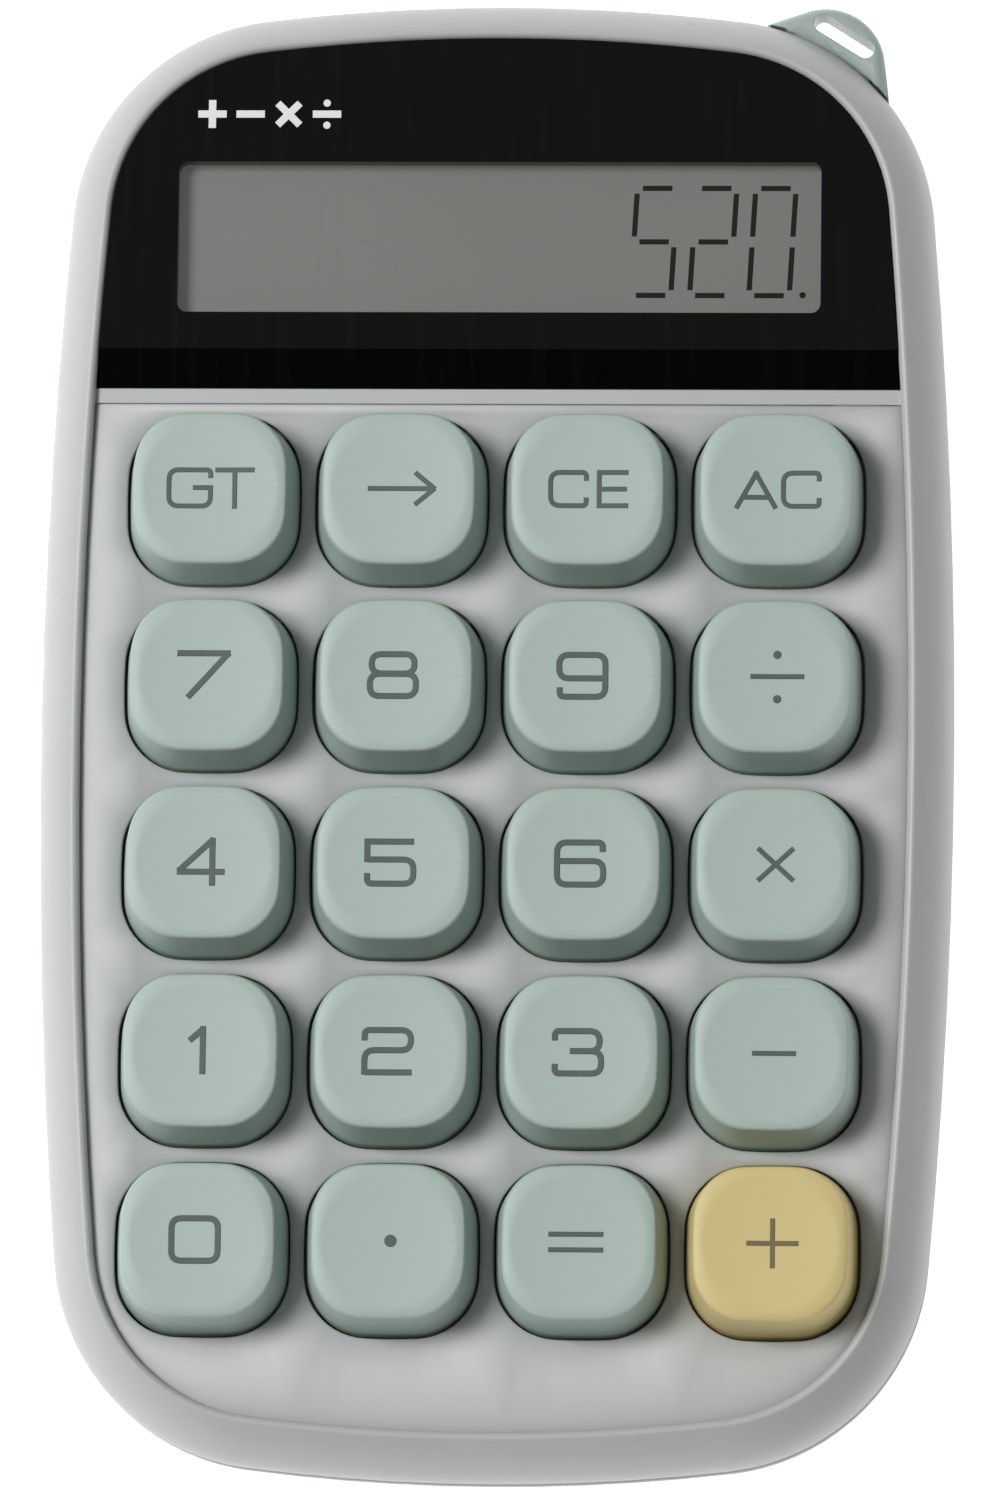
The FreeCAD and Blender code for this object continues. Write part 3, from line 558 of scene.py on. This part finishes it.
window_clear, tree, shader = finish(
    "window_clear", (0.12, 0.12, 0.12, 1), 0.06, Alpha=0.03, IOR=1.49
)
haze = use_group(tree, moulded, Grain_Size=1.5 * MM, Cloud_Size=0.012)
put(shader.inputs["Roughness"], ramp(tree, haze.outputs["Cloud"], 0.0, 1.0, 0.05, 0.10))
window_clear.surface_render_method = "BLENDED"
moulding("display_window", "clear_pane", window_clear)


# ---------------------------------------------------------------- liquid-crystal cell
# Two thin glasses with a grey reflector behind them. The reflector and the unlit figures give out a
# painted glow of their own colour, which lightens the shade the panel's edge casts on the cell. The
# lit figures read 520 and a point; the unlit ones in the other places are only just there.

FIGURE_HALF = (2.05, 5.55)
FIGURE_SLANT = 0.055
FIGURE_BAR = 0.27
FIGURE_GAP = 0.55
FIGURE_PITCH = 6.02
FIGURE_LAST = Vector((27.72 * MM, 50.45 * MM))
FIGURE_PLACES = 10
SHOWN = "025"
LCD_PAINTED_GLOW = 0.5
LIT = {"0": "abcdef", "2": "abged", "5": "afgcd", "8": "abcdefg"}
INK_PROUD = 0.012 * MM
FAINT_PROUD = 0.006 * MM
POINT_RADIUS = 0.33
POINT_OFFSET = Vector((3.1 * MM, -5.5 * MM))
REFLECTOR = (0.117, 0.121, 0.111, 1)
FAINT_INK = (0.115, 0.119, 0.109, 1)
LIT_INK = (0.004, 0.005, 0.004, 1)

lcd_glass, tree, shader = finish("lcd_glass", REFLECTOR, 0.35, Emission_Strength=LCD_PAINTED_GLOW)
sheen = use_group(tree, moulded, Grain_Size=0.09 * MM, Cloud_Size=0.02)
speckle = maths(
    tree,
    "ADD",
    ramp(tree, sheen.outputs["Height"], 0.3, 0.7, 0.0, 0.35),
    ramp(tree, sheen.outputs["Cloud"], 0.0, 1.0, 0.0, 0.3),
)
reflector = blend(tree, speckle, REFLECTOR, (0.137, 0.142, 0.132, 1))
put(shader.inputs["Base Color"], reflector)
# painted glow: the reflector gives out its own colour as light, lightening the shade at the panel's
# edge
put(shader.inputs["Emission Color"], reflector)
dress("lcd_cell", lcd_glass)


def figure_bars(letters):
    """The bars of one seven-bar figure, centred on its own middle and leaning to the right."""
    wide, tall = FIGURE_HALF
    short, long_ = wide - FIGURE_GAP, tall / 2 - FIGURE_GAP
    bars = {
        "a": (-short, tall, short, tall),
        "g": (-short, 0, short, 0),
        "d": (-short, -tall, short, -tall),
        "f": (-wide, tall / 2 - long_, -wide, tall / 2 + long_),
        "b": (wide, tall / 2 - long_, wide, tall / 2 + long_),
        "e": (-wide, -tall / 2 - long_, -wide, -tall / 2 + long_),
        "c": (wide, -tall / 2 - long_, wide, -tall / 2 + long_),
    }
    shapes = []
    for letter in letters:
        for quad in bar(*bars[letter], FIGURE_BAR):
            shapes.append([Vector((p.x + FIGURE_SLANT * p.y, p.y)) for p in quad])
    return shapes


lit_ink, tree, shader = finish("lit_crystal", LIT_INK, 0.5, Specular_IOR_Level=0.1)
cells = use_group(tree, moulded, Grain_Size=0.1 * MM)
uneven = ramp(tree, cells.outputs["Height"], 0.3, 0.8)
put(shader.inputs["Base Color"], blend(tree, uneven, LIT_INK, (0.010, 0.011, 0.009, 1)))
faint_ink, tree, shader = finish("unlit_crystal", FAINT_INK, 0.35, Emission_Strength=LCD_PAINTED_GLOW)
cells = use_group(tree, moulded, Grain_Size=0.1 * MM)
uneven = ramp(tree, cells.outputs["Height"], 0.3, 0.8)
faint = blend(tree, uneven, FAINT_INK, (0.131, 0.136, 0.126, 1))
put(shader.inputs["Base Color"], faint)
# painted glow: the unlit figures give out their colour in the same way as the reflector round them
put(shader.inputs["Emission Color"], faint)

for order, shown in enumerate(SHOWN):
    place = (FIGURE_LAST.x - order * FIGURE_PITCH * MM, FIGURE_LAST.y)
    figure = printed(
        f"figure_{shown}", figure_bars(LIT[shown]), lit_ink, "lcd_cell", place, INK_PROUD
    )
    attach(figure, "case")
point = printed(
    "figure_point",
    dot((0, 0), POINT_RADIUS),
    lit_ink,
    "lcd_cell",
    FIGURE_LAST + POINT_OFFSET,
    INK_PROUD,
)
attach(point, "case")

# the unlit figures repeat along a line
GEOMETRY = "NodeSocketGeometry"
row_tree, inside, outside = new_group(
    "figure_row",
    "GeometryNodeTree",
    [
        ("Geometry", GEOMETRY, None),
        ("Count", "NodeSocketInt", FIGURE_PLACES - len(SHOWN)),
        ("Step", "NodeSocketVector", (-FIGURE_PITCH * MM, 0, 0)),
        ("Finish", "NodeSocketMaterial", None),
    ],
    [("Geometry", GEOMETRY)],
)
line = add_node(
    row_tree, "GeometryNodeMeshLine", Count=inside.outputs["Count"], Offset=inside.outputs["Step"]
)
copies = add_node(
    row_tree,
    "GeometryNodeInstanceOnPoints",
    Points=result(line),
    Instance=inside.outputs["Geometry"],
)
whole = add_node(row_tree, "GeometryNodeRealizeInstances", result(copies))
inked = add_node(
    row_tree, "GeometryNodeSetMaterial", result(whole), Material=inside.outputs["Finish"]
)
put(outside.inputs["Geometry"], result(inked))


def grown(source, tree, name, **values):
    """The plain mesh that a node tree makes from a piece, in the piece's stead."""
    modifier = source.modifiers.new("growth", "NODES")
    modifier.node_group = tree
    for item in tree.interface.items_tree:
        key = item.name.replace(" ", "_")
        if item.item_type == "SOCKET" and item.in_out == "INPUT" and key in values:
            modifier[item.identifier] = values[key]
    ready = source.evaluated_get(bpy.context.evaluated_depsgraph_get())
    mesh = bpy.data.meshes.new_from_object(ready)
    mesh.name = name
    bpy.data.objects.remove(source)
    piece = bpy.data.objects.new(name, mesh)
    scene.collection.objects.link(piece)
    return piece


seed = printed(
    "unlit_seed",
    figure_bars(LIT["8"]),
    faint_ink,
    "lcd_cell",
    (FIGURE_LAST.x - len(SHOWN) * FIGURE_PITCH * MM, FIGURE_LAST.y),
    FAINT_PROUD,
)
unlit = grown(seed, row_tree, "figures_unlit", Finish=faint_ink)
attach(unlit, "case")


# ---------------------------------------------------------------- key caps
# Doubleshot caps in a dense plastic, dry and finely textured, a little dished on top. The legends
# are a second, darker plastic that comes through the face, bolder in the digits than in the
# letters and signs. The plus key alone is yellow.

CAP_GREEN = (0.392, 0.488, 0.440, 1)
CAP_GREEN_PALE = (0.450, 0.545, 0.500, 1)
CAP_YELLOW = (0.640, 0.520, 0.218, 1)
CAP_YELLOW_PALE = (0.690, 0.585, 0.330, 1)
DIGIT_LINE_HALF = 0.31
SIGN_LINE_HALF = 0.25
CAP_SHARP_DEG = 40
CAP_LOOK = {"grain": 0.16 * MM, "depth": 8e-6, "wear": 0.35}
LEGEND_ROUND = 1.0
LEGEND_BACK = 0.3 * MM
DIGIT_SIDE = -0.32 * MM
SIGN_SIDE = 0.22 * MM


def letter(half_x, half_y, *strokes, half=SIGN_LINE_HALF):
    """Bands of a legend; each stroke is (rounding, closed or not, points from -1 to 1)."""
    shapes = []
    for radius, closed, points in strokes:
        run = run_of([(x * half_x, y * half_y) for x, y in points], radius, closed)
        shapes.extend(ribbon(run, half, closed))
    return shapes


def digit(half_x, half_y, *strokes):
    """A digit's bands, bolder than a letter's."""
    return letter(half_x, half_y, *strokes, half=DIGIT_LINE_HALF)


def shifted(shapes, x):
    """The same shapes, that much further to the right."""
    return [[p + Vector((x, 0)) for p in shape] for shape in shapes]


def turned(shapes):
    """The same shapes after half a turn."""
    return [[-p for p in shape] for shape in shapes]


R = LEGEND_ROUND
CURL = (R, False, [(1, 0.5), (1, 1), (-1, 1), (-1, -1), (1, -1), (1, -0.5)])
SIX = [(0.97, 0.55), (0.97, 1), (-1, 1), (-1, -1), (1, -1), (1, 0.12), (-1, 0.12)]
six = digit(2.32, 2.13, (R, False, SIX))
LEGENDS = {
    "grand_total": shifted(
        letter(
            2.1,
            1.85,
            (R, False, [(1, 0.55), (1, 1), (-1, 1), (-1, -1), (1, -1), (1, 0.02)]),
            (0, False, [(1.12, 0.02), (0.15, 0.02)]),
        ),
        -2.3,
    )
    + shifted(
        letter(2.0, 1.85, (0, False, [(-1, 1), (1, 1)]), (0, False, [(0, 1), (0, -1.15)])), 2.25
    ),
    "backspace": letter(
        3.35,
        1.65,
        (0, False, [(-1, 0), (0.97, 0)]),
        (0, False, [(0.42, 1), (1.03, -0.03)]),
        (0, False, [(0.42, -1), (1.03, 0.03)]),
    ),
    "clear_entry": shifted(letter(1.8, 1.7, CURL), -2.15)
    + shifted(
        letter(
            1.4,
            1.7,
            (0, False, [(-1, 1.15), (-1, -1.15)]),
            (0, False, [(-1, 1), (1.1, 1)]),
            (0, False, [(-1, 0), (1, 0)]),
            (0, False, [(-1, -1), (1.1, -1)]),
        ),
        2.35,
    ),
    "all_clear": shifted(
        letter(
            2.0,
            1.75,
            (0, False, [(-1, -1.1), (0.06, 1.05)]),
            (0, False, [(-0.06, 1.05), (1, -1.1)]),
            (0, False, [(-0.7, -0.45), (0.7, -0.45)]),
        ),
        -2.3,
    )
    + shifted(letter(1.8, 1.7, CURL), 2.25),
    "0": digit(2.32, 2.13, (R, True, [(-1, -1), (1, -1), (1, 1), (-1, 1)])),
    "1": digit(
        1.0, 2.25, (0, False, [(0.5, 1.08), (0.5, -1.08)]), (0, False, [(0.6, 0.98), (-0.85, 0.42)])
    ),
    "2": digit(
        2.32,
        2.13,
        (R, False, [(-1, 0.5), (-1, 1), (1, 1), (1, 0.05), (-1, 0.05), (-1, -1.12)]),
        (0, False, [(-1, -1), (1.05, -1)]),
    ),
    "3": digit(
        2.32,
        2.13,
        (R, False, [(-1, 0.55), (-1, 1), (0.93, 1), (0.93, 0.06), (-0.35, 0.06)]),
        (R, False, [(0.1, 0.06), (1, 0.06), (1, -1), (-1, -1), (-1, -0.55)]),
    ),
    "4": digit(
        2.3,
        2.25,
        (0, False, [(0.5, 1.08), (0.5, -1.08)]),
        (0, False, [(0.55, 1.03), (-0.98, -0.42)]),
        (0, False, [(-1.05, -0.45), (1.05, -0.45)]),
    ),
    "5": digit(
        2.32,
        2.13,
        (0, False, [(1.02, 1), (-1, 1), (-1, 0.02)]),
        (R, False, [(-1, 0.15), (1, 0.15), (1, -1), (-1, -1), (-1, -0.5)]),
    ),
    "6": six,
    "7": digit(
        2.6, 2.15, (0, False, [(-1.05, 1), (1.02, 1)]), (0, False, [(0.97, 1.04), (-0.62, -1.1)])
    ),
    "8": digit(
        2.32,
        2.13,
        (R, True, [(-1, -1), (1, -1), (1, 0.06), (-1, 0.06)]),
        (R, True, [(-0.93, 0.075), (0.93, 0.075), (0.93, 1), (-0.93, 1)]),
    ),
    "9": turned(six),
    "divide": bar(-2.7, 0, 2.7, 0, SIGN_LINE_HALF) + dot((0, 2.2), 0.42) + dot((0, -2.3), 0.42),
    "multiply": bar(-1.8, -1.65, 1.8, 1.65, SIGN_LINE_HALF)
    + bar(-1.8, 1.65, 1.8, -1.65, SIGN_LINE_HALF),
    "minus": bar(-2.2, 0, 2.2, 0, SIGN_LINE_HALF),
    "plus": bar(-2.6, 0, 2.6, 0, SIGN_LINE_HALF) + bar(0, -2.5, 0, 2.5, SIGN_LINE_HALF),
    "equals": bar(-2.75, 0.78, 2.75, 0.78, SIGN_LINE_HALF)
    + bar(-2.75, -0.78, 2.75, -0.78, SIGN_LINE_HALF),
    "point": dot((0, 0), 0.62),
}

cap_green = moulded_plastic("cap_green", CAP_GREEN, CAP_GREEN_PALE, 0.5, **CAP_LOOK)
cap_yellow = moulded_plastic("cap_yellow", CAP_YELLOW, CAP_YELLOW_PALE, 0.5, **CAP_LOOK)
legend_ink = moulded_plastic(
    "legend_plastic", (0.070, 0.100, 0.084, 1), (0.095, 0.130, 0.110, 1), 0.5, wear=0.0
)
brown_ink = moulded_plastic(
    "plus_legend_plastic", (0.165, 0.128, 0.052, 1), (0.205, 0.162, 0.074, 1), 0.5, wear=0.0
)

for key, shapes in LEGENDS.items():
    node, body = f"keycap_{key}", f"key_{key}"
    yellow = key == "plus"
    moulding(node, f"cap_{key}", cap_yellow if yellow else cap_green, sharp=CAP_SHARP_DEG)
    low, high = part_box(node)
    middle = (low + high) / 2
    middle.x += DIGIT_SIDE if key.isdigit() or key == "equals" else SIGN_SIDE
    middle.y += LEGEND_BACK
    legend = printed(f"legend_{key}", shapes, brown_ink if yellow else legend_ink, node, middle)
    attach(legend, body)


# ---------------------------------------------------------------- key switches
# Each key stands on a switch: a black nylon base clipped into a steel plate, a milky lid, a red
# slider that the cap pushes on to, a coil spring and two bronze contacts soldered to the board.

nylon_black = moulded_plastic(
    "nylon_black", (0.016, 0.016, 0.018, 1), (0.040, 0.040, 0.042, 1), 0.45, wear=0.3
)
nylon_milky = moulded_plastic(
    "nylon_milky", (0.55, 0.57, 0.58, 1), (0.68, 0.70, 0.70, 1), 0.3, wear=0.2, Subsurface_Weight=0.3
)
acetal_red = moulded_plastic(
    "acetal_red", (0.420, 0.045, 0.030, 1), (0.560, 0.090, 0.060, 1), 0.33, wear=0.3
)

brushed, inside, outside = new_group(
    "brushed_metal",
    "ShaderNodeTree",
    [("Stretch", "NodeSocketVector", (40.0, 4000.0, 4000.0))],
    [("Line", FLOAT)],
)
lines = add_node(
    brushed,
    "ShaderNodeTexNoise",
    Vector=result(
        add_node(
            brushed,
            "ShaderNodeVectorMath",
            add_node(brushed, "ShaderNodeTexCoord").outputs["Object"],
            inside.outputs["Stretch"],
            settings={"operation": "MULTIPLY"},
        )
    ),
    Scale=1.0,
    Detail=4.0,
)
put(outside.inputs["Line"], ramp(brushed, result(lines), 0.25, 0.75))


def metal(name, colour, pale, roughness):
    """Metal with fine rolling or drawing lines."""
    material, tree, shader = finish(name, colour, roughness, Metallic=1.0)
    line = use_group(tree, brushed).outputs["Line"]
    put(shader.inputs["Base Color"], blend(tree, line, colour, pale))
    put(shader.inputs["Roughness"], ramp(tree, line, 0, 1, roughness - 0.06, roughness + 0.08))
    bump = add_node(tree, "ShaderNodeBump", Height=line, Distance=1.5e-6)
    put(shader.inputs["Normal"], result(bump))
    return material


plate_steel = metal("plate_steel", (0.42, 0.42, 0.43, 1), (0.55, 0.55, 0.56, 1), 0.34)
bronze = metal("phosphor_bronze", (0.62, 0.42, 0.22, 1), (0.75, 0.55, 0.32, 1), 0.3)
spring_wire = metal("spring_wire", (0.60, 0.60, 0.58, 1), (0.72, 0.72, 0.70, 1), 0.22)
dress("switch_bases", nylon_black)
dress("switch_covers", nylon_milky)
dress("switch_contacts", bronze)
dress("switch_plate", plate_steel)

COIL_RADIUS = 1.8 * MM
WIRE_RADIUS = 0.15 * MM
WIRE_SIDES = 8
COIL_TURNS = 7.0
COIL_STEPS = 20

coil_tree, inside, outside = new_group(
    "coil_spring",
    "GeometryNodeTree",
    [
        ("Geometry", GEOMETRY, None),
        ("Turns", FLOAT, COIL_TURNS),
        ("Coil Radius", FLOAT, COIL_RADIUS),
        ("Wire Radius", FLOAT, WIRE_RADIUS),
        ("Length", FLOAT, 0.006),
        ("Foot", "NodeSocketVector", (0, 0, 0)),
        ("Finish", "NodeSocketMaterial", None),
    ],
    [("Geometry", GEOMETRY)],
)
helix = add_node(
    coil_tree,
    "GeometryNodeCurveSpiral",
    Resolution=COIL_STEPS,
    Rotations=inside.outputs["Turns"],
    Start_Radius=inside.outputs["Coil Radius"],
    End_Radius=inside.outputs["Coil Radius"],
    Height=inside.outputs["Length"],
)
wire = add_node(
    coil_tree,
    "GeometryNodeCurvePrimitiveCircle",
    Resolution=WIRE_SIDES,
    Radius=inside.outputs["Wire Radius"],
)
tube = add_node(
    coil_tree,
    "GeometryNodeCurveToMesh",
    Curve=result(helix),
    Profile_Curve=result(wire),
    Fill_Caps=True,
)
stood = add_node(
    coil_tree, "GeometryNodeTransform", Geometry=result(tube), Translation=inside.outputs["Foot"]
)
one = add_node(coil_tree, "GeometryNodeRealizeInstances", result(stood))
drawn = add_node(
    coil_tree, "GeometryNodeSetMaterial", result(one), Material=inside.outputs["Finish"]
)
put(outside.inputs["Geometry"], result(drawn))

spring_low, spring_high = (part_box("switch_springs")[i].z for i in (0, 1))
for key in LEGENDS:
    dress(f"stem_{key}", acetal_red)
    low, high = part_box(f"stem_{key}")
    axis = (low + high) / 2
    foot = Vector((axis.x, axis.y, spring_low + WIRE_RADIUS))
    seed = bpy.data.objects.new("coil_seed", bpy.data.meshes.new("coil_seed"))
    scene.collection.objects.link(seed)
    spring = grown(
        seed,
        coil_tree,
        f"spring_{key}",
        Length=spring_high - spring_low - 2 * WIRE_RADIUS,
        Foot=foot,
        Finish=spring_wire,
    )
    spring.data.polygons.foreach_set("use_smooth", [True] * len(spring.data.polygons))
    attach(spring, "case")
    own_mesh(spring)
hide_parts("switch_springs")


# ---------------------------------------------------------------- circuit board
# Fibreglass board with a green mask over its copper tracks, and the chip under a drop of black
# epoxy. A layered rubber strip carries the signals up to the display.

TRACK = (0.030, 0.165, 0.070, 1)
MASK = (0.012, 0.085, 0.036, 1)

board_mask, tree, shader = finish("board_mask", MASK, 0.32, Coat_Weight=0.3, Coat_Roughness=0.15)
tracks = add_node(
    tree,
    "ShaderNodeTexBrick",
    Vector=add_node(tree, "ShaderNodeTexCoord").outputs["Object"],
    Color1=MASK,
    Color2=(0.014, 0.095, 0.040, 1),
    Mortar=TRACK,
    Scale=110.0,
    Mortar_Size=0.045,
    Brick_Width=0.9,
    Row_Height=0.16,
)
weave = use_group(tree, moulded, Grain_Size=0.5 * MM)
put(
    shader.inputs["Base Color"],
    blend(tree, ramp(tree, weave.outputs["Height"], 0.4, 0.9, 0, 0.25), result(tracks), TRACK),
)
bump = add_node(tree, "ShaderNodeBump", Height=tracks.outputs["Fac"], Distance=2e-5)
put(shader.inputs["Normal"], result(bump))
dress("main_board", board_mask)

epoxy = moulded_plastic(
    "black_epoxy", (0.008, 0.008, 0.009, 1), (0.018, 0.018, 0.019, 1), 0.18, wear=0.0, depth=3e-6
)
moulding("controller_chip", "epoxy_drop", epoxy)

zebra, tree, shader = finish("zebra_rubber", (0.04, 0.04, 0.04, 1), 0.7)
layers = add_node(
    tree,
    "ShaderNodeTexWave",
    Vector=add_node(tree, "ShaderNodeTexCoord").outputs["Object"],
    Scale=1600.0,
    Distortion=0.3,
)
stripe = ramp(tree, layers.outputs["Fac"], 0.4, 0.6)
put(shader.inputs["Base Color"], blend(tree, stripe, (0.02, 0.02, 0.02, 1), (0.30, 0.29, 0.28, 1)))
dress("zebra_strip", zebra)


# ---------------------------------------------------------------- battery
# A coin cell lies in its round bay under a bayonet cover of the case's own plastic. A bronze leaf
# presses on the cell's cap and a tab touches the side of its can.

cell_steel = metal("cell_steel", (0.56, 0.56, 0.56, 1), (0.68, 0.68, 0.68, 1), 0.26)
moulding("coin_cell", "button_cell", cell_steel)
dress("battery_contacts", bronze)
moulding("battery_cover", "bay_cover", case_plastic)


# ---------------------------------------------------------------- screws and feet
# Zinc-plated cross-head screws, driven from below, and four round rubber feet in shallow pockets.

zinc = metal("zinc_plate", (0.40, 0.40, 0.42, 1), (0.54, 0.54, 0.55, 1), 0.32)
moulding("case_screws", "cross_screws", zinc)

foot_rubber = moulded_plastic(
    "foot_rubber", (0.022, 0.022, 0.023, 1), (0.050, 0.050, 0.050, 1), 0.72, wear=0.25, depth=1.2e-5
)
moulding("rubber_feet", "round_feet", foot_rubber)
